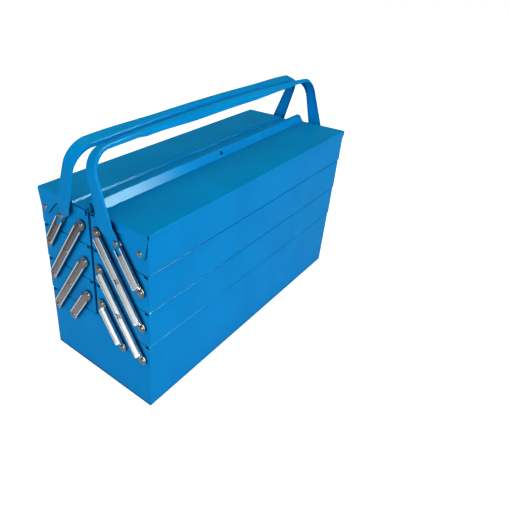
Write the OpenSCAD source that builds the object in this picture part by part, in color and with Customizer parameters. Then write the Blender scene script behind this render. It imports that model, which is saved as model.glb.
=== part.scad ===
// Cantilever tool box: one deep base tray and six half-width trays in three levels.
// Parallel links on both end faces carry the trays outwards and two lids open with the handles.
// The origin is on the ground under the middle of the closed box. X runs along the box, Z is up.
// The front is the -Y half, the rear is the +Y half. Left is the -X end, right is the +X end.

/* [Box] */
// Length of the trays over their end plates
box_len = 500; // [360:10:620]
// Width of the closed box over the bottom edges of the trays
box_w = 198; // [180:2:240]
// Gap between the two halves at the middle of the box
centre_gap = 3; // [2:0.5:6]
// Height of the base tray up to the floor of the lower trays
base_h = 106; // [90:1:140]
// Height of one level of trays
tray_h = 54; // [46:1:66]
// Thickness of the sheet steel
sheet = 1; // [0.8:0.1:1.2]
// Gap between a tray's floor and the rim that it rests over
stack_gap = 0.6; // [0.3:0.1:0.8]
// How far a long wall stands in at its rim, on every tray
wall_lean = 1.2; // [0:0.1:1.6]

/* [Rims] */
// Width of the hem folded in along a long wall's rim
hem_w = 8; // [4:0.5:9]
// Depth of the hem's lip
hem_drop = 4; // [3:0.5:6]
// Width of the edge folded in along an end plate's top
end_fold = 6; // [4:0.5:9]
// Depth of the lip on the end plate's folded edge
end_lip = 3; // [2:0.5:4]

/* [Links] */
// Distance of the inner rivets from the middle of the box
rivet_in = 14; // [12:0.5:16]
// Distance of the outer rivets and the lid pins from the outer bottom edge of the trays
edge_in = 12; // [11:0.5:14]
// Height of the rivets over the floor of their tray
rivet_rise = 27; // [20:0.5:30]
// Width of a link
link_w = 12.5; // [11:0.5:14]
// Thickness of a link's sheet
link_t = 1.2; // [1:0.1:1.5]
// Height of a link's channel edges over its sheet
link_edge = 3.8; // [3:0.1:4.5]
// How far the channel edges stop from the end rivets
edge_stop = 5; // [4.5:0.5:8]

/* [Rivets] */
// Diameter of a rivet's shank
rivet_d = 5; // [4:0.2:5.2]
// Clearance round a shank in its hole, on the radius
pin_fit = 0.05; // [0.03:0.01:0.1]
// Diameter of a rivet's domed head
head_d = 8; // [7:0.2:9]
// Height of a rivet's domed head
head_h = 1.8; // [1.4:0.1:2]
// Thickness of the flat head inside the tray
tail_h = 1.2; // [1:0.1:1.6]
// Diameter of the collar between an end plate and a link
collar_d = 9; // [8:0.5:10]
// Gap from an end plate to the sheet of the links
link_gap = 2; // [1.9:0.1:3]
// Free play along a rivet's axis
end_play = 0.1; // [0.05:0.05:0.15]

/* [Lids] */
// Height of a lid's top over the floor of its tray
lid_rise = 54; // [52:0.5:58]
// Depth of the fold along a lid's outer edge
lid_fold = 6; // [4:0.5:7]
// Gap from a tray's outer wall to the fold of the lid over it
lid_gap = 0.4; // [0.3:0.1:0.6]
// Gap from a tray's end plates to the end plates of its lid
lid_end_gap = 1.2; // [0.9:0.1:1.3]
// Slit from the ends of the fold to the lid's end plates
lid_slit = 2; // [1:0.2:3]
// Depth of a lid's end plates under its top, at the middle of the box
lid_end_h = 12; // [9:0.5:13]
// Radius of the ear round a lid pin
ear_r = 8; // [7:0.5:9]
// Height of the ridge on the front lid
ridge_h = 10.5; // [8:0.5:13]
// Width of the ridge's flat top
ridge_top = 7; // [6:0.5:10]
// Width of the ridge's sloping face, seen from above
ridge_slope = 7.5; // [6:0.5:10]
// Depth of the step along the rear lid's inner edge
step_h = 2.8; // [2:0.2:4.4]
// Width of the step's sloping face, seen from above
step_slope = 2.5; // [2:0.5:6]
// Width of the strip below the step
step_strip = 22.3; // [8:0.1:26]
// Distance of the strip's edge from the tray's inner rim
strip_gap = 2.5; // [1:0.5:4]
// Diameter of the padlock hole in the ridge
lock_d = 6; // [4:0.5:7]
// Length of the tab on a lid's end plate that the handle pushes
tab_len = 14; // [8:0.5:15]
// How far the tab stands out
tab_out = 6; // [5.5:0.1:6.4]
// Height of the tab's upper end over the lid pin
tab_rise = 22; // [20:0.5:24]
// Distance of the tab's upper end from the handle rivet, outwards
tab_side = 2; // [1.5:0.5:4]
// Slope of the tab
tab_turn = 45; // [40:1:50]

/* [Handles] */
// Gap between the two grips at their middle, which sets how far the legs lean
grip_gap = 4.3; // [2:0.1:12]
// Distance of the leg's middle line from the handle rivet
leg_off = 5.5; // [5:0.5:7]
// Height of the handle's top corners from the rivet, along the leg
arch_h = 112; // [104:1:118]
// How much higher the handle is at its middle
crown = 6; // [0:1:7]
// Outer radius of the handle's corners
arch_r = 32; // [24:1:40]
// Width of the handle's grip
grip_w = 18; // [16:0.5:20]
// Width of a leg at its lower end
leg_w = 24; // [21:0.5:25]
// Thickness of the handle's sheet
handle_t = 1.5; // [1.2:0.1:1.8]
// Depth of the legs' channel
leg_depth = 3; // [2:0.5:9]
// Depth of the handle's channel at its corners
corner_depth = 6; // [4:0.5:8]
// Depth of the grip's channel, deeper than the corners
grip_depth = 13; // [10:0.5:14]
// Half length of the deeper part of the grip
grip_half = 172; // [150:1:180]
// Length over which the channel gets deeper
grip_slope = 5; // [3:0.5:8]
// Gap from the links' sheet to the edges of the legs' channel
leg_gap = 4; // [3:0.1:4.2]
// Width of the handle's tongue inside the drive link
tongue_w = 9; // [8:0.2:9.4]
// Length of the tongue below the rivet
tongue_len = 16; // [10:0.5:20]

/* [Hidden] */
$fn = 48;

PAINT = "#0a78c0";
ZINC = "#c9c9c6";
STEEL = "#b4b6b8";

// Small overshoot of a cutting shape past the face that it cuts
cut = 1;
half_w = box_w / 2;
end_x = box_len / 2;
inner_y = centre_gap / 2;
base_wall = base_h - stack_gap;
low_wall = tray_h - stack_gap;
// The top tray's walls end below the lids' inner edges, which rest over its inner hem
top_wall = lid_rise - step_h - sheet - stack_gap;

// Rivet columns, counted from the middle of the box
rivet_out = half_w - edge_in;
rivet_step = (rivet_out - rivet_in) / 2;
rivet_mid = rivet_in + rivet_step;

// Lean of the links of the closed box from the vertical
link_angle = atan(rivet_step / tray_h);
link_len = norm([rivet_step, tray_h]);
link_x = end_x + link_gap + end_play;
web_x = link_x + link_t;

// Height of a level's floor and of its rivets; the base counts as the level 0
function floor_z(level) = base_h + (level - 1) * tray_h;
function rivet_z(level) = floor_z(level) + rivet_rise;

lid_z = floor_z(3) + lid_rise;
pin_z = rivet_z(3);
lid_x = end_x + lid_end_gap;

// The lids' outer fold lies round the rim; their inner edges lie over the inner hem
lid_out = half_w - wall_lean + lid_gap + sheet;
lid_in = inner_y + wall_lean;
ridge_foot = lid_in + ridge_top + ridge_slope;
strip_in = lid_in + strip_gap;
step_foot = strip_in + step_strip;

// Distance from the handle rivet's collar to the sloping edge of a lid's ear, and the slope
// of the line from the pin to the point where that edge meets the ear's round
ear_clear = 6;
ear_turn = 45;

// Lowest point of the legs' channel and of the bend that joins it to the tongue
leg_foot = 26;
joggle_foot = 9;
// Depth of the shoulder from a leg's full width to its tongue, how far the leg's inner side
// comes in over twice that depth, and where the tongue's outer side starts
shoulder = 8;
shoulder_in = 5;
tongue_top = 4;

// Outer face of the legs, and the height at which the legs meet the arch
arch_foot = 4;
arch_x = web_x + leg_gap + leg_depth;
leg_top = arch_h - arch_r - arch_foot;
// Place of a grip's inner edge from the handle rivet, and the lean that leaves the gap there
grip_high = arch_h + crown;
grip_side = leg_off + grip_w / 2;
leg_lean = atan2(grip_high, grip_side)
    - acos((rivet_mid - grip_gap / 2) / norm([grip_high, grip_side]));
// Number of straight stretches along the grip
crown_steps = 10;

// A flat shape drawn over Y and Z, as a plate that starts at x0 and runs towards +X
module plate(x0, t) {
    translate([x0, 0, 0]) rotate([90, 0, 90]) linear_extrude(t) children();
}

// The same plate at both ends of the box
module both_ends() {
    children();
    mirror([1, 0, 0]) children();
}

// Rear things are drawn at +Y; the front ones are their mirror image
module on_side(front) {
    mirror([0, front ? 1 : 0, 0]) children();
}

module on_end(left) {
    mirror([left ? 1 : 0, 0, 0]) children();
}

// Outline of a tray between its long walls, drawn in by `inset` and raised by `over`
module tray_outline(y0, y1, h, inset, over) {
    slope = wall_lean / h;
    lean_base = slope * inset;
    lean_top = slope * (h + over);
    polygon([
        [y0 + inset + lean_base, inset], [y1 - inset - lean_base, inset],
        [y1 - inset - lean_top, h + over], [y0 + inset + lean_top, h + over]
    ]);
}

// Section of the hem on the outer wall of a tray
module hem(y1, h) {
    rim = y1 - wall_lean;
    translate([rim - hem_w, h - sheet]) square([hem_w, sheet]);
    translate([rim - hem_w, h - hem_drop]) square([sheet, hem_drop]);
}

// One bent sheet: floor, two long walls and their hems
module pan(y0, y1, z0, h) {
    translate([0, 0, z0]) plate(-end_x, box_len) {
        difference() {
            tray_outline(y0, y1, h, 0, 0);
            tray_outline(y0, y1, h, sheet, cut);
        }
        hem(y1, h);
        translate([y0 + y1, 0]) mirror([1, 0]) hem(y1, h);
    }
}

// Two end plates welded in between the long walls, with a folded top edge and rivet holes
module end_plates(y0, y1, z0, h, holes) {
    fold_y0 = y0 + wall_lean + hem_w;
    fold_w = y1 - y0 - 2 * (wall_lean + hem_w);
    both_ends() difference() {
        union() {
            translate([0, 0, z0]) plate(end_x - sheet, sheet) {
                difference() {
                    tray_outline(y0, y1, h, sheet, 0);
                    translate([y0, h - hem_drop]) square([y1 - y0, hem_drop + cut]);
                }
                translate([fold_y0, h - hem_drop - cut]) square([fold_w, hem_drop + cut]);
            }
            translate([end_x - end_fold, fold_y0, z0 + h - sheet])
                cube([end_fold, fold_w, sheet]);
            translate([end_x - end_fold, fold_y0, z0 + h - end_lip])
                cube([sheet, fold_w, end_lip]);
        }
        for (p = holes) rivet_hole(p, end_x - sheet);
    }
}

module rivet_hole(p, x0) {
    translate([x0 - cut, p[0], p[1]]) rotate([0, 90, 0])
        cylinder(d = rivet_d + 2 * pin_fit, h = sheet + link_t + 2 * cut);
}

// Domed head: a slice of a ball
module dome(d, h) {
    r = (d * d / 4 + h * h) / (2 * h);
    rotate_extrude() intersection() {
        translate([0, h - r]) circle(r);
        square([d / 2, h]);
    }
}

// Rivet with a flat tail inside the tray, a collar and a domed head over `grip` of sheet
module rivet(p, collar, grip) {
    head_x = collar + end_play + grip + end_play / 2;
    both_ends() translate([end_x, p[0], p[1]]) rotate([0, 90, 0]) {
        translate([0, 0, -sheet - tail_h]) cylinder(d = head_d, h = tail_h);
        translate([0, 0, -sheet - tail_h]) cylinder(d = rivet_d, h = sheet + tail_h + head_x);
        cylinder(d = collar_d, h = collar);
        translate([0, 0, head_x]) dome(head_d, head_h);
    }
}

base_holes = [[rivet_mid, rivet_z(0)], [rivet_out, rivet_z(0)]];
function low_holes(level) = [for (y = [rivet_in, rivet_mid, rivet_out]) [y, rivet_z(level)]];
top_holes = [[rivet_in, pin_z], [rivet_mid, pin_z], [rivet_out, pin_z]];
function flip(points) = [for (p = points) [-p[0], p[1]]];

module base_pan() {
    color(PAINT) pan(-half_w, half_w, 0, base_wall);
}

module base_end_plates() {
    color(PAINT)
        end_plates(-half_w, half_w, 0, base_wall, concat(base_holes, flip(base_holes)));
}

module base_rivets() {
    color(ZINC) for (p = concat(base_holes, flip(base_holes))) rivet(p, link_gap, link_t);
}

module low_pan(front, level) {
    color(PAINT) on_side(front) pan(inner_y, half_w, floor_z(level), low_wall);
}

module low_end_plates(front, level) {
    color(PAINT) on_side(front)
        end_plates(inner_y, half_w, floor_z(level), low_wall, low_holes(level));
}

module low_rivets(front, level) {
    color(ZINC) on_side(front) for (p = low_holes(level)) rivet(p, link_gap, link_t);
}

module upper_pan(front) {
    color(PAINT) on_side(front) pan(inner_y, half_w, floor_z(3), top_wall);
}

module upper_end_plates(front) {
    color(PAINT) on_side(front)
        end_plates(inner_y, half_w, floor_z(3), top_wall, top_holes);
}

// The middle rivet holds the handle's tongue as well as its link
module upper_rivets(front) {
    color(ZINC) on_side(front) {
        rivet([rivet_in, pin_z], link_gap, link_t);
        rivet([rivet_mid, pin_z], link_gap, link_t + handle_t);
    }
}

module lid_pins(front) {
    color(ZINC) on_side(front)
        rivet([rivet_out, pin_z], lid_end_gap - end_play, sheet);
}

// Channel-shaped link over `stages` levels, from the rivet at `foot` inwards and upwards
module link(foot, stages) {
    len = stages * link_len;
    translate([0, foot[0], foot[1]]) rotate([link_angle, 0, 0]) difference() {
        union() {
            plate(link_x, link_t) {
                translate([-link_w / 2, 0]) square([link_w, len]);
                for (z = [0, len]) translate([0, z]) circle(d = link_w);
            }
            for (side = [-1, 1])
                translate([link_x, side * (link_w - link_t) / 2 - link_t / 2, edge_stop])
                    cube([link_t + link_edge, link_t, len - 2 * edge_stop]);
        }
        for (z = [0 : stages]) translate([link_x - cut, 0, z * link_len])
            rotate([0, 90, 0]) cylinder(d = rivet_d + 2 * pin_fit, h = link_t + 2 * cut);
    }
}

module base_short_link(front, left) {
    color(STEEL) on_side(front) on_end(left) link([rivet_mid, rivet_z(0)], 1);
}

module base_long_link(front, left) {
    color(STEEL) on_side(front) on_end(left) link([rivet_out, rivet_z(0)], 2);
}

module top_long_link(front, left) {
    color(STEEL) on_side(front) on_end(left) link([rivet_out, rivet_z(1)], 2);
}

module handle_link(front, left) {
    color(STEEL) on_side(front) on_end(left) link([rivet_out, rivet_z(2)], 1);
}

// End plate of a lid, over Y and Z: shallow at the middle of the box, with an ear at the pin
module lid_end() {
    ear_foot = rivet_mid + collar_d / 2 + ear_clear;
    difference() {
        union() {
            polygon([
                [lid_in, lid_z - lid_end_h], [ear_foot, lid_z - lid_end_h],
                [rivet_out - ear_r * sin(ear_turn), pin_z - ear_r * cos(ear_turn)],
                [rivet_out, pin_z], [rivet_out + ear_r, pin_z],
                [lid_out, lid_z - lid_fold], [lid_out, lid_z], [lid_in, lid_z]
            ]);
            translate([rivet_out, pin_z]) circle(r = ear_r);
        }
        translate([rivet_out, pin_z]) circle(d = rivet_d + 2 * pin_fit);
    }
}

// Tab bent out of the end plate, in the path of the handle's leg
module lid_tab() {
    translate([lid_x + sheet, rivet_mid + tab_side, pin_z + tab_rise]) rotate([tab_turn, 0, 0])
        translate([0, -sheet / 2, -tab_len]) cube([tab_out, sheet, tab_len]);
}

function unit(v) = v / norm(v);
function sheet_side(a, b) = unit([b[1] - a[1], a[0] - b[0]]);

// The lower side of a bent sheet, mitred at its bends, for the points of its upper side
function under(points) = [for (i = [0 : len(points) - 1])
    let (
        last = len(points) - 1,
        n1 = sheet_side(points[max(i - 1, 0)], points[max(i, 1)]),
        n2 = sheet_side(points[min(i, last - 1)], points[min(i + 1, last)])
    )
    points[i] + sheet * (n1 + n2) / (1 + n1 * n2)];
function backwards(points) = [for (i = [len(points) - 1 : -1 : 0]) points[i]];

// A lid's top: one bent sheet with a fold down along its outer edge, which ends short of the
// end plates
module lid_body(points) {
    difference() {
        plate(-lid_x - sheet, 2 * (lid_x + sheet)) polygon(concat(points, backwards(under(points))));
        both_ends() translate([lid_x - lid_slit, lid_out - 2 * sheet, lid_z - lid_fold - cut])
            cube([lid_slit + sheet + cut, 3 * sheet, lid_fold + cut - sheet]);
    }
}

// The ridge stands over the lid's inner edge, and its hollow is open at both ends
module front_lid() {
    color(PAINT) on_side(true) {
        difference() {
            lid_body([
                [lid_in, lid_z - step_h - sheet], [lid_in, lid_z + ridge_h],
                [lid_in + ridge_top, lid_z + ridge_h], [ridge_foot, lid_z],
                [lid_out, lid_z], [lid_out, lid_z - lid_fold]
            ]);
            translate([0, ridge_foot - ridge_slope / 2, lid_z + ridge_h / 2])
                rotate([-atan(ridge_h / ridge_slope), 0, 0])
                translate([0, 0, -2 * cut]) cylinder(d = lock_d, h = 4 * cut);
        }
        both_ends() {
            plate(lid_x, sheet) intersection() {
                lid_end();
                translate([ridge_foot, 0]) square([lid_out, lid_z]);
            }
            lid_tab();
        }
    }
}

// The inner edge is stepped down to a strip that rests on the tray's inner hem
module rear_lid() {
    color(PAINT) {
        lid_body([
            [strip_in, lid_z - step_h], [step_foot, lid_z - step_h],
            [step_foot + step_slope, lid_z], [lid_out, lid_z], [lid_out, lid_z - lid_fold]
        ]);
        both_ends() {
            plate(lid_x, sheet) difference() {
                lid_end();
                polygon([
                    [0, 0], [strip_in, 0], [strip_in, lid_z - step_h], [step_foot, lid_z - step_h],
                    [step_foot + step_slope, lid_z], [step_foot, lid_z + cut], [0, lid_z + cut]
                ]);
            }
            lid_tab();
        }
    }
}

// Half of the handle's arch over X and the leg's direction, drawn in by `ex` and `ez`
function corner_arc(ex, ez) = [for (a = [0 : 10 : 90])
    [arch_x - arch_r + (arch_r - ex) * cos(a), arch_h - arch_r + (arch_r - ez) * sin(a)]];
function crown_at(x, ez) = [x, arch_h - ez + crown * (1 - pow(x / (arch_x - arch_r), 2))];
function crown_arc(ez, mid_ez) = concat([crown_at(grip_half + grip_slope, ez)],
    [for (i = [0 : crown_steps]) crown_at(grip_half * (1 - 2 * i / crown_steps), mid_ez)],
    [crown_at(-grip_half - grip_slope, ez)]);
function flip_x(points) = [for (p = backwards(points)) [-p[0], p[1]]];
function arch(ex, ez, mid_ez, foot) = concat([[arch_x - ex, foot]], corner_arc(ex, ez),
    crown_arc(ez, mid_ez), flip_x(corner_arc(ex, ez)), [[ex - arch_x, foot]]);

module arch_ring(ex, ez, mid_ez, y0, w) {
    translate([0, y0 + w, 0]) rotate([90, 0, 0]) linear_extrude(w) difference() {
        polygon(arch(0, 0, 0, leg_top));
        polygon(arch(ex, ez, mid_ez, leg_top - cut));
    }
}

// Section of a leg over Y and Z in the handle's own frame: it widens towards its lower end
module leg() {
    plate(arch_x - handle_t, handle_t) polygon([
        [-leg_w / 2, leg_foot], [leg_w / 2, leg_foot],
        [grip_w / 2, leg_top], [-grip_w / 2, leg_top]
    ]);
    plate(arch_x - leg_depth, leg_depth) for (side = [-1, 1]) polygon([
        [side * leg_w / 2, leg_foot], [side * grip_w / 2, leg_top],
        [side * (grip_w / 2 - handle_t), leg_top], [side * (leg_w / 2 - handle_t), leg_foot]
    ]);
}

// The leg's lower end steps in to a narrow tongue that lies in the channel of the drive link
module leg_end() {
    turn = link_angle - leg_lean;
    along = [-sin(turn), cos(turn)];
    across = [cos(turn), sin(turn)] * tongue_w / 2;
    tip = -tongue_len * along;
    intersection() {
        plate(web_x, leg_depth + handle_t) difference() {
            polygon([
                [-leg_off - leg_w / 2, leg_foot], [-leg_off + leg_w / 2, leg_foot],
                [-leg_off + leg_w / 2, leg_foot - shoulder],
                tongue_top * along + across, tip + across, tip - across, -across,
                [-leg_off - leg_w / 2 + shoulder_in, leg_foot - 2 * shoulder]
            ]);
            circle(d = rivet_d + 2 * pin_fit);
        }
        translate([0, leg_w, 0]) rotate([90, 0, 0]) linear_extrude(2 * leg_w) polygon([
            [web_x, -2 * tongue_len], [web_x + handle_t, -2 * tongue_len],
            [web_x + handle_t, joggle_foot], [arch_x, leg_foot - handle_t],
            [arch_x, leg_foot], [arch_x - handle_t, leg_foot],
            [arch_x - handle_t, leg_foot - handle_t / 2], [web_x, joggle_foot + handle_t]
        ]);
    }
}

module handle(front) {
    color(PAINT) on_side(front) translate([0, rivet_mid, pin_z]) rotate([leg_lean, 0, 0]) {
        translate([0, -leg_off, 0]) {
            arch_ring(handle_t, handle_t, handle_t, -grip_w / 2, grip_w);
            for (y = [-grip_w / 2, grip_w / 2 - handle_t])
                arch_ring(leg_depth, corner_depth, grip_depth, y, handle_t);
            both_ends() leg();
        }
        both_ends() leg_end();
    }
}

base_pan();
base_end_plates();
base_rivets();
low_pan(true, 1);  // front_lower_pan
low_end_plates(true, 1);  // front_lower_end_plates
low_rivets(true, 1);  // front_lower_rivets
low_pan(true, 2);  // front_middle_pan
low_end_plates(true, 2);  // front_middle_end_plates
low_rivets(true, 2);  // front_middle_rivets
upper_pan(true);  // front_upper_pan
upper_end_plates(true);  // front_upper_end_plates
upper_rivets(true);  // front_upper_rivets
front_lid();
lid_pins(true);  // front_lid_pins
handle(true);  // front_handle
base_short_link(true, true);  // front_base_short_link_left
base_short_link(true, false);  // front_base_short_link_right
base_long_link(true, true);  // front_base_long_link_left
base_long_link(true, false);  // front_base_long_link_right
top_long_link(true, true);  // front_top_long_link_left
top_long_link(true, false);  // front_top_long_link_right
handle_link(true, true);  // front_handle_link_left
handle_link(true, false);  // front_handle_link_right
low_pan(false, 1);  // rear_lower_pan
low_end_plates(false, 1);  // rear_lower_end_plates
low_rivets(false, 1);  // rear_lower_rivets
low_pan(false, 2);  // rear_middle_pan
low_end_plates(false, 2);  // rear_middle_end_plates
low_rivets(false, 2);  // rear_middle_rivets
upper_pan(false);  // rear_upper_pan
upper_end_plates(false);  // rear_upper_end_plates
upper_rivets(false);  // rear_upper_rivets
rear_lid();
lid_pins(false);  // rear_lid_pins
handle(false);  // rear_handle
base_short_link(false, true);  // rear_base_short_link_left
base_short_link(false, false);  // rear_base_short_link_right
base_long_link(false, true);  // rear_base_long_link_left
base_long_link(false, false);  // rear_base_long_link_right
top_long_link(false, true);  // rear_top_long_link_left
top_long_link(false, false);  // rear_top_long_link_right
handle_link(false, true);  // rear_handle_link_left
handle_link(false, false);  // rear_handle_link_right
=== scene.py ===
"""Looks of the cantilever tool box: every CAD node is replaced by a finer piece of its own."""

import math

import bmesh
import bpy
from mathutils import Matrix, Vector
from mathutils.geometry import tessellate_polygon

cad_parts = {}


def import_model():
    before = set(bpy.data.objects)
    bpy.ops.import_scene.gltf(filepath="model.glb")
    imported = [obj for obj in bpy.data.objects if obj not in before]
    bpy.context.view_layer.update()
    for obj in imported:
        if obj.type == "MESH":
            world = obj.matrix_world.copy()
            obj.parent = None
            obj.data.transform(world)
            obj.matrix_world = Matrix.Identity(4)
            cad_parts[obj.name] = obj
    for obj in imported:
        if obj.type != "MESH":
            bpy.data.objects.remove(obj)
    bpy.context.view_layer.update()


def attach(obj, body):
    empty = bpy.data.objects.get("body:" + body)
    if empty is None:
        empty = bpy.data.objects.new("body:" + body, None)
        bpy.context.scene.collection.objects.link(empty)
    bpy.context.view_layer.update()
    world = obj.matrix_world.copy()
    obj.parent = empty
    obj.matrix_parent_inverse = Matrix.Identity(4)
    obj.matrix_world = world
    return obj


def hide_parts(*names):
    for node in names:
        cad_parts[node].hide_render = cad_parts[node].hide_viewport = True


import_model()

# Sizes in millimetres. The main ones are the CAD's; bends, rivet heads, LEG_FOOT_DEPTH, GRIP_SLOPE
# and GRIP_SHALLOWER belong to the looks
END_X = 250.0
HALF_W = 99.0
INNER_Y = 1.5
LEAN = 1.2
SHEET = 1.0
HEM_W, HEM_DROP = 8.0, 4.0
END_FOLD, END_LIP = 6.0, 3.0
PAN_BEND, FOLD_BEND = 2.0, 2.4
FLOORS = {"base": 0.0, "lower": 106.0, "middle": 160.0, "upper": 214.0}
WALLS = {"base": 105.4, "lower": 53.4, "middle": 53.4, "upper": 49.6}
COLUMNS = {"in": 14.0, "mid": 50.5, "out": 87.0}
ROWS = [79.0, 133.0, 187.0, 241.0]
LINK_ANGLE = math.atan(36.5 / 54.0)
LINK_LEN = math.hypot(36.5, 54.0)
LINK_X, LINK_T, LINK_W, LINK_EDGE = 252.1, 1.2, 12.5, 5.0
LINK_BEND = 1.3
# A link's edges begin past its rivet and rise to their full height over a short way
LINK_FLAT, LINK_RISE = 4.6, 1.6
RIVET_R, SHANK_R, COLLAR_R, HOLE_R = 4.0, 2.5, 4.5, 2.55
TRAY_COLLAR, LID_COLLAR = 2.0, 1.1
TRAY_GRIP, TONGUE_GRIP, EAR_GRIP = 1.2, 2.7, 1.0
# Where a link's free edges begin, in metres from the middle of the box; the painted highlight on the zinc
# starts there
EDGE_START = (LINK_X + LINK_EDGE - 0.5) * 0.001
LID_Z = 268.0
LID_X = 251.2
LID_SLIT = 2.0
LID_FOLD = 6.0
LID_BEND, LID_INNER_BEND, PLATE_BEND = 1.0, 0.8, 1.2
PLATE_DROP, PLATE_INNER_Y, EAR_R = 12.0, 61.0, 8.0
PADLOCK_R = 3.0
LID_OUT = HALF_W - LEAN + 0.4 + SHEET
LID_IN = INNER_Y + LEAN
RIDGE_H, RIDGE_TOP, RIDGE_SLOPE = 10.5, 7.0, 7.5
STEP_H, STEP_SLOPE = 2.8, 2.5
STRIP_IN = LID_IN + 2.5
STEP_FOOT = STRIP_IN + 22.3
HANDLE_T = 1.5
LEG_OFF = 5.5
LEG_X = 260.3
LEG_FOOT_DEPTH, LEG_DEPTH, CORNER_DEPTH, GRIP_DEPTH = 1.6, 3.0, 6.0, 13.0
GRIP_LONG, GRIP_SLOPE = 172.0, 12.0
LEG_BEND, GRIP_BEND = 2.6, 8.8
ARCH_H, ARCH_R, CROWN = 112.0, 32.0, 6.0
GRIP_HALF, LEG_HALF = 9.0, 12.0
GRIP_GAP = 4.3
GRIP_SIDE, GRIP_HIGH = LEG_OFF + GRIP_HALF, ARCH_H + CROWN
LEG_LEAN = (math.atan2(GRIP_HIGH, GRIP_SIDE)
            - math.acos((COLUMNS["mid"] - GRIP_GAP / 2) / math.hypot(GRIP_HIGH, GRIP_SIDE)))
TONGUE_X = 254.8
TONGUE_HALF, TONGUE_LONG = 4.5, 16.0
# The leg is complete at this height above its rivet
SHOULDER_TOP = 26
# On the way up to it: where each change starts, and over what height it runs
STEP_OUT, WIDEN, SHIFT, DEEPEN = (7, 18), (2, 17), (0, 18), (14, 12)
LEG_STEPS, CORNER_STEPS, GRIP_STEPS = 6, 12, 12
# The grip is even in the middle, shallower towards its ends, and rounder away from the corner
GRIP_EVEN, GRIP_SHALLOWER = 60, 4.0
CORNER_SPACING, CORNER_RUN, ROUND_START, ROUND_RUN = 14, 40, 12, 110
WEB_HOLLOW = 0.4
ARC_STEPS = 5


# Mesh building
BEVEL_ANGLE, SHARP_ANGLE = 50, 38


class Shape:
    """Vertices and faces in millimetres, gathered for one piece."""

    def __init__(self):
        self.verts, self.faces = [], []

    def add(self, verts, faces, matrix=None):
        base = len(self.verts)
        self.verts += [matrix @ Vector(v) if matrix else Vector(v) for v in verts]
        self.faces += [[base + i for i in face] for face in faces]

    def grid(self, rows, matrix=None):
        """A surface through rows that all have the same number of points."""
        n = len(rows[0])
        faces = [[r * n + i, r * n + i + 1, (r + 1) * n + i + 1, (r + 1) * n + i]
                 for r in range(len(rows) - 1) for i in range(n - 1)]
        self.add([p for row in rows for p in row], faces, matrix)

    def plate(self, outline, place, holes=()):
        """A flat face inside an outline of 2-D points, around holes."""
        loops = [[Vector((a, b, 0)) for a, b in loop] for loop in (outline, *holes)]
        tris = tessellate_polygon(loops)
        self.add([place(p.x, p.y) for loop in loops for p in loop], [list(t) for t in tris])

    def lathe(self, profile, matrix, segments=32):
        """A closed turned solid: profile points are (radius, height), from axis to axis."""
        verts, faces, rings = [], [], []
        for radius, height in profile:
            if radius < 1e-6:
                rings.append([len(verts)])
                verts.append((0, 0, height))
            else:
                rings.append([len(verts) + i for i in range(segments)])
                verts += [(radius * math.cos(2 * math.pi * i / segments),
                           radius * math.sin(2 * math.pi * i / segments), height) for i in range(segments)]
        for low, high in zip(rings, rings[1:]):
            for i in range(segments):
                j = (i + 1) % segments
                a = [low[0]] if len(low) == 1 else [low[i], low[j]]
                b = [high[0]] if len(high) == 1 else [high[j], high[i]]
                faces.append(a + b)
        self.add(verts, faces, matrix)


def rounded(path, outer, inner, steps=ARC_STEPS):
    """Rounds the corners of a 2-D path: right turns with radius `outer`, left turns with `inner`."""
    pts = [Vector(p) for p in path]
    out = [pts[0]]
    for a, b, c in zip(pts, pts[1:], pts[2:]):
        u, v = (a - b).normalized(), (c - b).normalized()
        half = u.angle(v) / 2
        right_turn = (b - a).x * (c - b).y - (b - a).y * (c - b).x < 0
        room = min(0.46 * (a - b).length, 0.46 * (c - b).length)
        reach = min((outer if right_turn else inner) / math.tan(half), room)
        radius = reach * math.tan(half)
        centre = b + (u + v).normalized() * (radius / math.sin(half))
        d0, d1 = b + u * reach - centre, b + v * reach - centre
        sweep = d0.angle(d1)
        for i in range(steps + 1):
            k = i / steps
            blend = d0 * math.sin((1 - k) * sweep) + d1 * math.sin(k * sweep)
            out.append(centre + blend / math.sin(sweep))
    out.append(pts[-1])
    return out


def smooth_step(k):
    k = min(max(k, 0.0), 1.0)
    return k * k * (3 - 2 * k)


def rise(value, start, run):
    return smooth_step((value - start) / run)


def flip_y(front):
    """Pieces are built for the rear half; the front half is its mirror image."""
    return Matrix.Scale(-1 if front else 1, 4, (0, 1, 0))


def face_away(bm, inside):
    """Turns each connected stretch of faces so that it looks away from a point inside the piece."""
    centre = Vector(inside) * 0.001
    left = set(bm.faces)
    while left:
        island, queue = [], [left.pop()]
        while queue:
            face = queue.pop()
            island.append(face)
            near = {other for edge in face.edges for other in edge.link_faces} & left
            left -= near
            queue += near
        if sum(f.calc_area() * f.normal.dot(f.calc_center_median() - centre) for f in island) < 0:
            bmesh.ops.reverse_faces(bm, faces=island)


def facing_mesh(name, shape, inside):
    """The shape's faces as one joined surface whose front looks outwards."""
    mesh = bpy.data.meshes.new(name)
    mesh.from_pydata([v * 0.001 for v in shape.verts], [], shape.faces)
    bm = bmesh.new()
    bm.from_mesh(mesh)
    bmesh.ops.remove_doubles(bm, verts=bm.verts, dist=1e-6)
    bmesh.ops.recalc_face_normals(bm, faces=bm.faces)
    if inside is not None:
        face_away(bm, inside)
    bm.to_mesh(mesh)
    bm.free()
    return mesh


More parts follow.
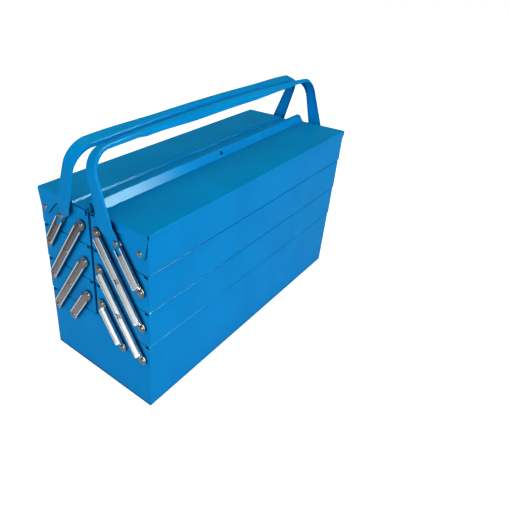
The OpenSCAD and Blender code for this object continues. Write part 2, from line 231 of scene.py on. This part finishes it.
def thicken(piece, thickness, bevel):
    """Gives a surface the sheet's thickness and breaks its edges, then keeps the result as its mesh."""
    if thickness:
        solid = piece.modifiers.new("sheet", "SOLIDIFY")
        solid.thickness = thickness * 0.001
        solid.offset = -1
        solid.use_even_offset = True
        solid.use_quality_normals = True
    if bevel:
        edge = piece.modifiers.new("edges", "BEVEL")
        edge.width = bevel * 0.001
        edge.segments = 2
        edge.limit_method = "ANGLE"
        edge.angle_limit = math.radians(BEVEL_ANGLE)
    bpy.context.view_layer.update()
    final = bpy.data.meshes.new_from_object(piece.evaluated_get(bpy.context.evaluated_depsgraph_get()))
    piece.modifiers.clear()
    piece.data = final
    return final


def make(name, body, shape, material, thickness=0.0, bevel=0.15, inside=None):
    """One finished piece in place of the CAD node of the same name."""
    piece = bpy.data.objects.new(name + "_skin", facing_mesh(name, shape, inside))
    bpy.context.scene.collection.objects.link(piece)
    final = thicken(piece, thickness, bevel)
    final.name = name
    final.polygons.foreach_set("use_smooth", [True] * len(final.polygons))
    final.set_sharp_from_angle(angle=math.radians(SHARP_ANGLE))
    weighted = piece.modifiers.new("shading", "WEIGHTED_NORMAL")
    weighted.keep_sharp = True
    final.materials.clear()
    final.materials.append(material)
    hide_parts(name)
    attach(piece, body)


# Materials: each colour is a pair to blend between, by noise or by height; distances are in metres
# One enamel in two tones, chosen by which way a face looks: painted light, for how light falls on sides and
# tops
SIDE_LIT_BLUE = ((0.000, 0.245, 0.640), (0.000, 0.280, 0.710))
TOP_LIT_BLUE = ((0.000, 0.265, 0.575), (0.000, 0.310, 0.650))
# Darker blue painted as shade in a piece's own hollows and bends
SHADE_BLUE = ((0.000, 0.100, 0.320), (0.000, 0.120, 0.360))
# Near-black blue painted as shade in joints, slots and gaps between parts
JOINT_SHADE_BLUE = ((0.000, 0.012, 0.070), (0.000, 0.016, 0.085))
# Front and rear links are one zinc, painted in two tones for how each catches light
FRONT_LIT_ZINC = ((0.36, 0.37, 0.38), (0.88, 0.88, 0.86))
REAR_LIT_ZINC = ((0.46, 0.46, 0.45), (0.94, 0.91, 0.93))
# Random wear on the zinc, also graded by height as painted reflection
WEAR_AND_SHEEN_ZINC = ((0.34, 0.33, 0.32), (0.54, 0.52, 0.52))
# Pale zinc painted on the links' free edges as a highlight
EDGE_HIGHLIGHT_ZINC = ((0.80, 0.78, 0.77), (0.92, 0.91, 0.90))
RIVET_ZINC = ((0.60, 0.58, 0.52), (0.80, 0.79, 0.76))
# Heights between which the links' colour goes from dark to bright: a painted reflection, brighter lower down
REFLECTION_DARK_Z, REFLECTION_BRIGHT_Z = 0.235, 0.085
STREAK_SCALE = (900, 900, 25)
# Reaches of the painted shade: long within a piece, short in joints and slots between parts
SHADE_REACH, JOINT_SHADE_REACH = 0.030, 0.009


def node_material(name):
    material = bpy.data.materials.new(name)
    material.use_nodes = True
    tree = material.node_tree
    return material, tree, tree.nodes["Principled BSDF"]


def noise(tree, scale, detail=2.0, rough=0.5, vector=None):
    node = tree.nodes.new("ShaderNodeTexNoise")
    node.inputs["Scale"].default_value = scale
    node.inputs["Detail"].default_value = detail
    node.inputs["Roughness"].default_value = rough
    if vector is None:
        vector = tree.nodes.new("ShaderNodeTexCoord").outputs["Object"]
    tree.links.new(vector, node.inputs["Vector"])
    return node.outputs["Fac"]


def remap(tree, value, low, high, start=0.3, end=0.7):
    node = tree.nodes.new("ShaderNodeMapRange")
    node.inputs["From Min"].default_value = start
    node.inputs["From Max"].default_value = end
    node.inputs["To Min"].default_value = low
    node.inputs["To Max"].default_value = high
    tree.links.new(value, node.inputs["Value"])
    return node.outputs["Result"]


def blend_colours(tree, value, low, high):
    node = tree.nodes.new("ShaderNodeMix")
    node.data_type = "RGBA"
    node.inputs[6].default_value = (*low, 1)
    node.inputs[7].default_value = (*high, 1)
    tree.links.new(value, node.inputs[0])
    return node.outputs[2]


def mixed(tree, value, low, high):
    """Blend of two colour sockets."""
    node = tree.nodes.new("ShaderNodeMix")
    node.data_type = "RGBA"
    tree.links.new(low, node.inputs[6])
    tree.links.new(high, node.inputs[7])
    tree.links.new(value, node.inputs[0])
    return node.outputs[2]


def facing(tree, direction, start, end):
    """1 where the surface, seen in the object's own frame, looks along a direction."""
    dot = tree.nodes.new("ShaderNodeVectorMath")
    dot.operation = "DOT_PRODUCT"
    dot.inputs[1].default_value = direction
    tree.links.new(tree.nodes.new("ShaderNodeTexCoord").outputs["Normal"], dot.inputs[0])
    return remap(tree, dot.outputs["Value"], 0.0, 1.0, start, end)


def facing_up(tree):
    return facing(tree, (0, 0, 1), 0.6, 0.95)


def open_air(tree, distance, start, end, own_piece=False):
    """1 on open faces, falling to 0 in joints, slots and bends; it masks where shade is painted."""
    node = tree.nodes.new("ShaderNodeAmbientOcclusion")
    node.samples = 8
    node.only_local = own_piece
    node.inputs["Distance"].default_value = distance
    return remap(tree, node.outputs["AO"], 0.0, 1.0, start, end)


def bump(tree, height, strength, distance, normal=None):
    node = tree.nodes.new("ShaderNodeBump")
    node.inputs["Strength"].default_value = strength
    node.inputs["Distance"].default_value = distance
    tree.links.new(height, node.inputs["Height"])
    if normal is not None:
        tree.links.new(normal, node.inputs["Normal"])
    return node.outputs["Normal"]


def paint_material():
    """Baked enamel on sheet steel: fine orange peel over slow waves, a little uneven in tone and gloss.
    Painted light tones upward faces differently from side faces, and painted shade darkens hollows, bends
    and joints.
    """
    material, tree, shader = node_material("blue_enamel")
    tone = remap(tree, noise(tree, 14.0, 3.0), 0.0, 1.0)
    side = blend_colours(tree, tone, *SIDE_LIT_BLUE)
    top = blend_colours(tree, tone, *TOP_LIT_BLUE)
    shade = blend_colours(tree, tone, *SHADE_BLUE)
    joint_shade = blend_colours(tree, tone, *JOINT_SHADE_BLUE)
    # Painted light: upward faces take a different tone from side faces
    shown = mixed(tree, facing_up(tree), side, top)
    # Painted shade: darker in a piece's own hollows and bends
    shaded = mixed(tree, open_air(tree, SHADE_REACH, 0.50, 0.92, True), shade, shown)
    # Painted shade: joints, slots and gaps between parts go near black
    joint_shaded = mixed(tree, open_air(tree, JOINT_SHADE_REACH, 0.42, 0.86), joint_shade, shaded)
    tree.links.new(joint_shaded, shader.inputs["Base Color"])
    tree.links.new(remap(tree, noise(tree, 45.0, 5.0), 0.28, 0.40), shader.inputs["Roughness"])
    waves = bump(tree, noise(tree, 16.0, 1.0), 0.06, 0.002)
    peel = bump(tree, noise(tree, 650.0, 2.0), 0.04, 0.0003, waves)
    tree.links.new(peel, shader.inputs["Normal"])
    shader.inputs["IOR"].default_value = 1.5
    shader.inputs["Specular IOR Level"].default_value = 0.03
    shader.inputs["Specular Tint"].default_value = (0.0, 0.6, 1.0, 1)
    shader.inputs["Coat Weight"].default_value = 0.10
    shader.inputs["Coat Roughness"].default_value = 0.10
    return material


def along(tree, coords, axis, start, end):
    """0 to 1 between two distances from the middle of the box or from the ground."""
    split = tree.nodes.new("ShaderNodeSeparateXYZ")
    size = tree.nodes.new("ShaderNodeMath")
    size.operation = "ABSOLUTE"
    tree.links.new(coords, split.inputs[0])
    tree.links.new(split.outputs[axis], size.inputs[0])
    return remap(tree, size.outputs[0], 0.0, 1.0, start, end)


def zinc_material(name, angle, zinc_sheen_pair):
    """Zinc-plated strip, drawn along its length, with random wear. A painted reflection makes it darker
    higher up and brighter lower down, and a painted highlight makes its free edges pale.
    """
    material, tree, shader = node_material(name)
    coords = tree.nodes.new("ShaderNodeTexCoord").outputs["Object"]
    turn = tree.nodes.new("ShaderNodeMapping")
    turn.inputs["Rotation"].default_value = (angle, 0, 0)
    turn.inputs["Scale"].default_value = STREAK_SCALE
    tree.links.new(coords, turn.inputs["Vector"])
    streaks = noise(tree, 1.0, 3.0, 0.6, turn.outputs["Vector"])
    tone = remap(tree, noise(tree, 60.0, 3.0), 0.8, 1.0)
    # Painted reflection: the zinc is darker higher up and brighter lower down
    height = along(tree, coords, "Z", REFLECTION_DARK_Z, REFLECTION_BRIGHT_Z)
    zinc_sheen = blend_colours(tree, height, *zinc_sheen_pair)
    wear_and_sheen = mixed(tree, tone, blend_colours(tree, height, *WEAR_AND_SHEEN_ZINC), zinc_sheen)
    # Painted highlight: beyond this point the free edges turn pale and less metallic
    edge = along(tree, coords, "X", EDGE_START, EDGE_START + 0.0002)
    bright = blend_colours(tree, tone, *EDGE_HIGHLIGHT_ZINC)
    tree.links.new(mixed(tree, edge, wear_and_sheen, bright), shader.inputs["Base Color"])
    tree.links.new(remap(tree, edge, 1.0, 0.1, 0.0, 1.0), shader.inputs["Metallic"])
    tree.links.new(remap(tree, streaks, 0.16, 0.28), shader.inputs["Roughness"])
    tree.links.new(bump(tree, streaks, 0.04, 0.0001), shader.inputs["Normal"])
    return material


def rivet_material():
    """Plated rivets: bright, with fine scuffs from setting."""
    material, tree, shader = node_material("rivet_zinc")
    scuffs = noise(tree, 500.0, 4.0, 0.6)
    colour = blend_colours(tree, remap(tree, scuffs, 0, 1), *RIVET_ZINC)
    tree.links.new(colour, shader.inputs["Base Color"])
    tree.links.new(remap(tree, noise(tree, 260.0, 3.0), 0.14, 0.30), shader.inputs["Roughness"])
    tree.links.new(bump(tree, scuffs, 0.12, 0.0002), shader.inputs["Normal"])
    shader.inputs["Metallic"].default_value = 1.0
    return material


PAINT = paint_material()
# One zinc in two painted tones: the front and rear links catch light differently
ZINC = {True: zinc_material("link_zinc_front", LINK_ANGLE, FRONT_LIT_ZINC),
        False: zinc_material("link_zinc_rear", -LINK_ANGLE, REAR_LIT_ZINC)}
RIVET = rivet_material()


# Trays
def tray_middle(y0, y1, z0, h, front):
    return flip_y(front) @ Vector((0, (y0 + y1) / 2, z0 + h / 2))


def pan(name, body, y0, y1, z0, h, front):
    """Floor, walls and rolled hems bent from one sheet."""
    rim0, rim1 = y0 + LEAN, y1 - LEAN
    low = rounded([(rim1 - HEM_W, h - HEM_DROP), (rim1 - HEM_W, h), (rim1, h), (y1, 0), (y0, 0), (rim0, h),
                   (rim0 + HEM_W, h), (rim0 + HEM_W, h - HEM_DROP)], PAN_BEND, PAN_BEND)
    shape = Shape()
    shape.grid([[(x, p.x, z0 + p.y) for p in low] for x in (-END_X, END_X)], flip_y(front))
    make(name, body, shape, PAINT, SHEET, inside=tray_middle(y0, y1, z0, h, front))


def end_plates(y0, y1, z0, h, front):
    """Two welded end plates, folded in along the top between the hems."""
    slope = LEAN / h
    shape = Shape()
    lip = END_X - END_FOLD
    top = rounded([(END_X, h - HEM_DROP), (END_X, h), (lip, h), (lip, h - END_LIP)], FOLD_BEND, FOLD_BEND)
    ys = [y0 + LEAN + HEM_W, y1 - LEAN - HEM_W]
    for end in (1, -1):
        mirror = flip_y(front) @ Matrix.Scale(end, 4, (1, 0, 0))
        rows = []
        for z in (SHEET, h - HEM_DROP):
            across = (y0 + SHEET + slope * z, *ys, y1 - SHEET - slope * z)
            rows.append([(END_X, y, z0 + z) for y in across])
        shape.grid(rows, mirror)
        shape.grid([[(p.x, y, z0 + p.y) for p in top] for y in ys], mirror)
    return shape


def tray(name, body, y0, y1, level, front=False):
    z0, h = FLOORS[level], WALLS[level]
    pan(name + "_pan", body, y0, y1, z0, h, front)
    shape = end_plates(y0, y1, z0, h, front)
    make(name + "_end_plates", body, shape, PAINT, SHEET, inside=tray_middle(y0, y1, z0, h, front))


# Rivets
def rivet_profile(collar, grip):
    """From the flat tail inside the tray to the domed head."""
    head = collar + grip + 0.15
    arc = [math.radians(v) for v in range(0, 90, 10)]
    dome = [(RIVET_R * math.cos(a), head + 0.45 + 1.35 * math.sin(a)) for a in arc]
    tail = [(0, -2.2), (3.3, -2.2), (3.8, -2.05), (RIVET_R, -1.8), (RIVET_R, -1.0), (SHANK_R, -1.0)]
    shank = [(SHANK_R, 0.0), (COLLAR_R, 0.0), (COLLAR_R, collar), (SHANK_R, collar), (SHANK_R, head)]
    return tail + shank + [(RIVET_R - 0.1, head), (RIVET_R, head + 0.1)] + dome + [(0, head + 1.8)]


def rivets(name, body, spots, front):
    """Each spot is (y, z, collar, grip)."""
    shape = Shape()
    for y, z, collar, grip in spots:
        for end in (1, -1):
            spot = Matrix.Translation((end * END_X, y * (-1 if front else 1), z))
            shape.lathe(rivet_profile(collar, grip), spot @ Matrix.Rotation(end * math.pi / 2, 4, "Y"))
    make(name, body, shape, RIVET, bevel=0.0)


# Links
def channel_row(half, edge, bend=LINK_BEND, steps=4):
    """Section of a channel, from one edge over the web to the other, as (across, outward)."""
    r = min(bend, edge)
    quarter = [math.pi / 2 * i / steps for i in range(steps + 1)]
    left = [(-half, edge)] + [(-half + r - r * math.cos(a), r - r * math.sin(a)) for a in quarter]
    return left + [(-a, b) for a, b in reversed(left)]


def link(name, body, foot, stages, front, left):
    """Channel link, open outwards, whose flat rounded ends pass beyond its edges."""
    length = stages * LINK_LEN
    # Each station is (distance from the rivet, half width, edge height)
    stations = []
    r = LINK_W / 2
    for i in range(8):
        a = math.pi / 2 * i / 8
        stations.append((-r * math.cos(a), r * math.sin(a) + 0.01, 0.0))
    stations += [(0.0, r, 0.0), (LINK_FLAT, r, 0.0)]
    stations += [(LINK_FLAT + LINK_RISE * k / 4, r, LINK_EDGE * smooth_step(k / 4)) for k in range(1, 5)]
    stations += [(length - s, half, edge) for s, half, edge in reversed(stations)]
    shape = Shape()
    place = (Matrix.Scale(-1 if left else 1, 4, (1, 0, 0)) @ flip_y(front)
             @ Matrix.Translation((LINK_X, foot[0], foot[1])) @ Matrix.Rotation(LINK_ANGLE, 4, "X"))
    shape.grid([[(b, a, s) for a, b in channel_row(half, edge)] for s, half, edge in stations], place)
    hollow = place @ Vector((20, 0, length / 2))
    make(name, body, shape, ZINC[front], LINK_T, bevel=0.2, inside=hollow)


# Lids
def circle(centre_x, centre_y, radius, count):
    return [(centre_x + radius * math.cos(2 * math.pi * i / count),
             centre_y + radius * math.sin(2 * math.pi * i / count)) for i in range(count)]


def lid(name, path, front, plate_in, hole_r=0.0):
    """Top bent from one sheet, with end plates bent down from it. The fold ends short of the plates."""
    top = rounded(path, LID_BEND, LID_INNER_BEND)
    shape = Shape()
    mirror_y = flip_y(front)
    wide, narrow = LID_X + SHEET - PLATE_BEND, LID_X - LID_SLIT
    # The flat top runs from the last point of the bend before it to the first point of the outer bend
    arc_points = ARC_STEPS + 1
    flat = len(top) - 2 - arc_points
    xs = (-wide, -narrow, narrow, wide)
    rows = [[(x, p.x, p.y) for x in xs] for p in top]
    if hole_r:
        slope = 2 * arc_points
        shape.grid(rows[:slope + 1], mirror_y)
        shape.grid(rows[slope + 1:flat + 2], mirror_y)
        padlock_face(shape, top[slope], top[slope + 1], xs, hole_r, mirror_y)
    else:
        shape.grid(rows[:flat + 2], mirror_y)
    shape.grid([row[1:3] for row in rows[flat + 1:]], mirror_y)
    lid_end_plates(shape, top[flat].x, top[flat + 1].x, plate_in, mirror_y)
    make(name, name, shape, PAINT, SHEET, inside=mirror_y @ Vector((0, 55, LID_Z - 60)))


def lid_end_plates(shape, flat_in, flat_out, plate_in, mirror_y):
    """The two plates with their ears and pin holes, and the bends that join them to the flat top."""
    end, pin_y, pin_z = LID_X + SHEET, COLUMNS["out"], ROWS[3]
    sweep = [math.radians(v) for v in range(0, -136, -9)]
    round_ear = [(pin_y + EAR_R * math.cos(a), pin_z + EAR_R * math.sin(a)) for a in sweep]
    below = LID_Z - PLATE_BEND
    outline = [(flat_in, below), (flat_out, below), (flat_out + 0.9, LID_Z - 4)] + round_ear
    outline += [(PLATE_INNER_Y, LID_Z - PLATE_DROP)] + plate_in
    hole = circle(pin_y, pin_z, HOLE_R, 24)
    quarter = [math.pi / 2 * i / 4 for i in range(5)]
    turn = [(end - PLATE_BEND + PLATE_BEND * math.sin(a), below + PLATE_BEND * math.cos(a)) for a in quarter]
    for side in (1, -1):
        mirror = mirror_y @ Matrix.Scale(side, 4, (1, 0, 0))
        shape.plate(outline, lambda y, z: mirror @ Vector((end, y, z)), [hole])
        shape.grid([[(x, y, z) for x, z in turn] for y in (flat_in, flat_out)], mirror)


def padlock_face(shape, upper, lower, xs, radius, mirror):
    """The ridge's sloping face, with a round hole at its middle."""
    run = (lower - upper).length
    down = (lower - upper) / run
    corners = [(x, 0) for x in xs] + [(x, run) for x in reversed(xs)]
    hole = circle(0, run / 2, radius, 32)

    def place(x, t):
        return mirror @ Vector((x, upper.x + down.x * t, upper.y + down.y * t))

    shape.plate(corners, place, [hole])


def front_lid():
    foot = LID_IN + RIDGE_TOP + RIDGE_SLOPE
    path = [(LID_IN, LID_Z - STEP_H - SHEET), (LID_IN, LID_Z + RIDGE_H),
            (LID_IN + RIDGE_TOP, LID_Z + RIDGE_H), (foot, LID_Z),
            (LID_OUT, LID_Z), (LID_OUT, LID_Z - LID_FOLD)]
    lid("front_lid", path, True, [(foot, LID_Z - PLATE_DROP), (foot, LID_Z - 3)], PADLOCK_R)


def rear_lid():
    path = [(STRIP_IN, LID_Z - STEP_H), (STEP_FOOT, LID_Z - STEP_H), (STEP_FOOT + STEP_SLOPE, LID_Z),
            (LID_OUT, LID_Z), (LID_OUT, LID_Z - LID_FOLD)]
    below = LID_Z - STEP_H - SHEET
    lid("rear_lid", path, False, [(STRIP_IN, LID_Z - PLATE_DROP), (STRIP_IN, below), (STEP_FOOT, below)])


# Handles, swept through stations: x, height, centre across, outward normal as (x, height), half width,
# edge depth, slant, bend radius
def tongue_stations(turn):
    """Flat tongue with a round tip, lying along its link."""
    stations = []
    drop = Vector((math.sin(turn), -math.cos(turn)))
    for s in (TONGUE_LONG, 14.5, 10.0, 5.0, 0.0):
        past = max(0.0, (s - (TONGUE_LONG - TONGUE_HALF)) / TONGUE_HALF)
        half = TONGUE_HALF * max(math.sqrt(max(0.0, 1 - past ** 2)), 0.15)
        p = drop * s
        stations.append((TONGUE_X, p.y, p.x, (1, 0), half, 0.0, turn, LEG_BEND))
    return stations


def shoulder_stations(turn):
    """From the tongue outwards and upright to the leg."""
    stations = []
    for height, upright in ((9, 0.10), (13, 0.35), (17, 0.62), (21, 0.85), (SHOULDER_TOP, 1.0)):
        x = TONGUE_X + (LEG_X - TONGUE_X) * rise(height, *STEP_OUT)
        half = TONGUE_HALF + (LEG_HALF - TONGUE_HALF) * rise(height, *WIDEN)
        centre = -LEG_OFF * rise(height, *SHIFT)
        edge = LEG_FOOT_DEPTH * rise(height, *DEEPEN)
        stations.append((x, height, centre, (1, 0), half, edge, turn * (1 - upright), LEG_BEND))
    return stations


def leg_stations():
    """Straight leg, narrowing and deepening upwards."""
    stations = []
    rest = ARCH_H - ARCH_R - SHOULDER_TOP
    for i in range(1, LEG_STEPS + 1):
        height = SHOULDER_TOP + rest * i / LEG_STEPS
        half = LEG_HALF + (GRIP_HALF - LEG_HALF) * (height - SHOULDER_TOP) / rest
        edge = LEG_FOOT_DEPTH + (LEG_DEPTH - LEG_FOOT_DEPTH) * i / LEG_STEPS
        stations.append((LEG_X, height, -LEG_OFF, (1, 0), half, edge, 0.0, LEG_BEND))
    return stations


def corner_stations():
    """Quarter circle from the leg to the grip."""
    stations = []
    for i in range(1, CORNER_STEPS + 1):
        a = math.pi / 2 * i / CORNER_STEPS
        x = LEG_X - ARCH_R + ARCH_R * math.cos(a)
        height = ARCH_H - ARCH_R + ARCH_R * math.sin(a)
        edge = LEG_DEPTH + (CORNER_DEPTH - LEG_DEPTH) * i / CORNER_STEPS
        stations.append((x, height, -LEG_OFF, (math.cos(a), math.sin(a)), GRIP_HALF, edge, 0.0, LEG_BEND))
    return stations


def grip_stations():
    """From the corner to the middle of the slightly crowned grip."""
    stations = []
    reach = LEG_X - ARCH_R
    places = [reach - CORNER_SPACING * i for i in (1, 2, 3)] + [GRIP_LONG + GRIP_SLOPE]
    places += [GRIP_LONG * (1 - i / GRIP_STEPS) for i in range(GRIP_STEPS + 1)]
    for x in places:
        deep = GRIP_DEPTH - GRIP_SHALLOWER * rise(x, GRIP_EVEN, GRIP_LONG - GRIP_EVEN)
        edge = deep if x <= GRIP_LONG else CORNER_DEPTH + smooth_step((reach - x) / CORNER_RUN)
        bend = LEG_BEND + (GRIP_BEND - LEG_BEND) * smooth_step((reach - ROUND_START - x) / ROUND_RUN)
        slope = 2 * CROWN * x / reach ** 2
        norm = math.hypot(1, slope)
        height = ARCH_H + CROWN * (1 - (x / reach) ** 2)
        stations.append((x, height, -LEG_OFF, (slope / norm, 1 / norm), GRIP_HALF, edge, 0.0, bend))
    return stations


def handle(name, body, front):
    """Pressed channel swept over the box; its ends step in to flat tongues."""
    across = Vector((0, math.cos(LEG_LEAN), math.sin(LEG_LEAN)))
    up = Vector((0, -math.sin(LEG_LEAN), math.cos(LEG_LEAN)))
    pivot = Vector((0, COLUMNS["mid"], ROWS[3]))
    turn = LINK_ANGLE - LEG_LEAN
    half_path = tongue_stations(turn) + shoulder_stations(turn) + leg_stations() + corner_stations()
    half_path += grip_stations()
    stations = list(half_path)
    for x, height, centre, facing_out, *rest in reversed(half_path[:-1]):
        stations.append((-x, height, centre, (-facing_out[0], facing_out[1]), *rest))
    rows = []
    for x, height, centre, facing_out, half, edge, slant, bend in stations:
        normal = Vector((facing_out[0], 0, 0)) + up * facing_out[1]
        row = []
        for a, depth in channel_row(half, edge, bend, 7):
            high, wide = height + a * math.sin(slant), centre + a * math.cos(slant)
            flat = Vector((x, 0, 0)) + up * high + across * wide
            hollow = WEB_HOLLOW * min(edge / 3, 1) * (a / half) ** 2
            row.append(pivot + (flat - normal * (depth + hollow)))
        rows.append(row)
    shape = Shape()
    shape.grid(rows, flip_y(front))
    centre = flip_y(front) @ (pivot + up * 45 - across * LEG_OFF)
    make(name, body, shape, PAINT, HANDLE_T, bevel=0.3, inside=centre)


# Assembly
# Each link: its node, its body, the column and row of its lower rivet, and the levels that it spans
LINKS = (("base_short_link", "base_short_links", "mid", 0, 1),
         ("base_long_link", "base_long_links", "out", 0, 2),
         ("top_long_link", "top_long_links", "out", 1, 2),
         ("handle_link", "handle", "out", 2, 1))


def rivet_row(columns, row, sides=(1,)):
    return [(s * COLUMNS[c], ROWS[row], TRAY_COLLAR, TRAY_GRIP) for c in columns for s in sides]


def half_trays(side, is_front):
    for i, level in enumerate(("lower", "middle", "upper"), 1):
        tray(f"{side}_{level}", f"{side}_{level}_tray", INNER_Y, HALF_W, level, is_front)
        if level != "upper":
            spots = rivet_row(("in", "mid", "out"), i)
            rivets(f"{side}_{level}_rivets", f"{side}_{level}_tray", spots, is_front)
    tongue_rivet = (COLUMNS["mid"], ROWS[3], TRAY_COLLAR, TONGUE_GRIP)
    rivets(f"{side}_upper_rivets", f"{side}_upper_tray", rivet_row(("in",), 3) + [tongue_rivet], is_front)
    pin = (COLUMNS["out"], ROWS[3], LID_COLLAR, EAR_GRIP)
    rivets(f"{side}_lid_pins", f"{side}_upper_tray", [pin], is_front)


def links(side, is_front):
    for end in ("left", "right"):
        for name, body, column, row, levels in LINKS:
            foot = (COLUMNS[column], ROWS[row])
            link(f"{side}_{name}_{end}", f"{side}_{body}", foot, levels, is_front, end == "left")


tray("base", "base", -HALF_W, HALF_W, "base")
rivets("base_rivets", "base", rivet_row(("mid", "out"), 0, (1, -1)), False)
for half_name, at_front in (("front", True), ("rear", False)):
    half_trays(half_name, at_front)
    links(half_name, at_front)
    handle(f"{half_name}_handle", f"{half_name}_handle", at_front)
front_lid()
rear_lid()


# Floor, light and camera
FLOOR_HALF, FLOOR_COLOUR, FLOOR_ROUGH = 6.0, (0.86, 0.86, 0.86, 1), 0.9
FLOOR_GLOW = 0.7
WHITE = (1, 1, 1, 1)
ROOM = 0.42
DIM_ROOM, DIM_COLOUR = 0.06, (0.78, 1.0, 0.72, 1)
# How bright reflections see the floor, and how much of it they see that way
FLOOR_MIRROR = 0.05
MIRROR_SHARE = 0.65
# The bright patch in reflections: strength, direction, and cosines of its soft edge
SOFTBOX = 100.0
SOFTBOX_WAY = (0.48, -0.66, 0.58)
SOFTBOX_EDGE = (0.960, 0.99)
AIM = (0, 0, 0.15)
# The photo's camera: turn about the upright, tilt and roll in degrees, place in metres
CAMERA_TURN = (-50.01, 30.92, 1.2)
CAMERA_PLACE = (-0.574, -0.412, 0.5299)
# Size of the photo, focal length and principal point in its pixels
PHOTO_WIDE, PHOTO_HIGH = 510, 520
FOCAL, PRINCIPAL = 481.6, (177.6, 242.8)
SENSOR = 36


def camera_ray(tree):
    return tree.nodes.new("ShaderNodeLightPath").outputs["Is Camera Ray"]


def scaled(tree, value, factor):
    node = tree.nodes.new("ShaderNodeMath")
    node.operation = "MULTIPLY"
    node.inputs[1].default_value = factor
    tree.links.new(value, node.inputs[0])
    return node.outputs[0]


def floor():
    """A pale floor whose glow for the camera takes it to white around the shadow."""
    mesh = bpy.data.meshes.new("floor")
    r = FLOOR_HALF
    mesh.from_pydata([(-r, -r, 0), (r, -r, 0), (r, r, 0), (-r, r, 0)], [], [[0, 1, 2, 3]])
    obj = bpy.data.objects.new("floor", mesh)
    bpy.context.scene.collection.objects.link(obj)
    material, tree, shader = node_material("floor_white")
    shader.inputs["Base Color"].default_value = FLOOR_COLOUR
    shader.inputs["Roughness"].default_value = FLOOR_ROUGH
    shader.inputs["Specular IOR Level"].default_value = 0.0
    glow = tree.nodes.new("ShaderNodeEmission")
    tree.links.new(scaled(tree, camera_ray(tree), FLOOR_GLOW), glow.inputs["Strength"])
    total = tree.nodes.new("ShaderNodeAddShader")
    tree.links.new(shader.outputs[0], total.inputs[0])
    tree.links.new(glow.outputs[0], total.inputs[1])
    mirrored = tree.nodes.new("ShaderNodeEmission")
    mirrored.inputs["Strength"].default_value = FLOOR_MIRROR
    path = tree.nodes.new("ShaderNodeLightPath")
    shown = tree.nodes.new("ShaderNodeMixShader")
    tree.links.new(scaled(tree, path.outputs["Is Glossy Ray"], MIRROR_SHARE), shown.inputs[0])
    tree.links.new(total.outputs[0], shown.inputs[1])
    tree.links.new(mirrored.outputs[0], shown.inputs[2])
    tree.links.new(shown.outputs[0], tree.nodes["Material Output"].inputs["Surface"])
    mesh.materials.append(material)


def world():
    """White behind the box, a grey room that lights it, and a dim one with a softbox for reflections."""
    scene_world = bpy.data.worlds.new("studio")
    bpy.context.scene.world = scene_world
    scene_world.use_nodes = True
    tree = scene_world.node_tree
    room = tree.nodes["Background"]
    room.inputs["Color"].default_value = WHITE
    room.inputs["Strength"].default_value = ROOM
    seen = tree.nodes.new("ShaderNodeBackground")
    seen.inputs["Color"].default_value = WHITE
    seen.inputs["Strength"].default_value = 1.0
    dim = tree.nodes.new("ShaderNodeBackground")
    dim.inputs["Color"].default_value = DIM_COLOUR
    dot = tree.nodes.new("ShaderNodeVectorMath")
    dot.operation = "DOT_PRODUCT"
    dot.inputs[1].default_value = Vector(SOFTBOX_WAY).normalized()
    tree.links.new(tree.nodes.new("ShaderNodeTexCoord").outputs["Generated"], dot.inputs[0])
    patch = remap(tree, dot.outputs["Value"], DIM_ROOM, SOFTBOX, *SOFTBOX_EDGE)
    tree.links.new(patch, dim.inputs["Strength"])
    path = tree.nodes.new("ShaderNodeLightPath")
    glossy = tree.nodes.new("ShaderNodeMixShader")
    tree.links.new(path.outputs["Is Glossy Ray"], glossy.inputs[0])
    tree.links.new(room.outputs[0], glossy.inputs[1])
    tree.links.new(dim.outputs[0], glossy.inputs[2])
    mix = tree.nodes.new("ShaderNodeMixShader")
    tree.links.new(path.outputs["Is Camera Ray"], mix.inputs[0])
    tree.links.new(glossy.outputs[0], mix.inputs[1])
    tree.links.new(seen.outputs[0], mix.inputs[2])
    tree.links.new(mix.outputs[0], tree.nodes["World Output"].inputs["Surface"])


def softbox(name, place, size, power):
    light = bpy.data.lights.new(name, "AREA")
    light.shape = "RECTANGLE"
    light.size, light.size_y = size
    light.energy = power
    obj = bpy.data.objects.new(name, light)
    bpy.context.scene.collection.objects.link(obj)
    obj.location = place
    obj.rotation_euler = (Vector(AIM) - Vector(place)).to_track_quat("-Z", "Y").to_euler()


def camera():
    yaw, pitch, roll = (math.radians(v) for v in CAMERA_TURN)
    back = Vector((math.sin(yaw) * math.cos(pitch), -math.cos(yaw) * math.cos(pitch), math.sin(pitch)))
    right = Vector((math.cos(yaw), math.sin(yaw), 0))
    up = back.cross(right)
    x_axis = right * math.cos(roll) + up * math.sin(roll)
    y_axis = up * math.cos(roll) - right * math.sin(roll)
    data = bpy.data.cameras.new("camera")
    obj = bpy.data.objects.new("camera", data)
    bpy.context.scene.collection.objects.link(obj)
    axes = Matrix((x_axis, y_axis, back)).transposed().to_4x4()
    obj.matrix_world = Matrix.Translation(CAMERA_PLACE) @ axes
    data.sensor_width = SENSOR
    data.lens = FOCAL * SENSOR / PHOTO_HIGH
    data.shift_x = (PHOTO_WIDE / 2 - PRINCIPAL[0]) / PHOTO_HIGH
    data.shift_y = (PRINCIPAL[1] - PHOTO_HIGH / 2) / PHOTO_HIGH
    bpy.context.scene.camera = obj


floor()
world()
softbox("key", (-1.9, -1.5, 1.1), (2.2, 1.8), 26)
softbox("side", (-0.2, -2.6, 1.2), (2.4, 1.6), 16)
softbox("top", (0.2, 0.3, 2.6), (2.0, 2.0), 8)
camera()
bpy.context.scene.view_settings.view_transform = "Standard"
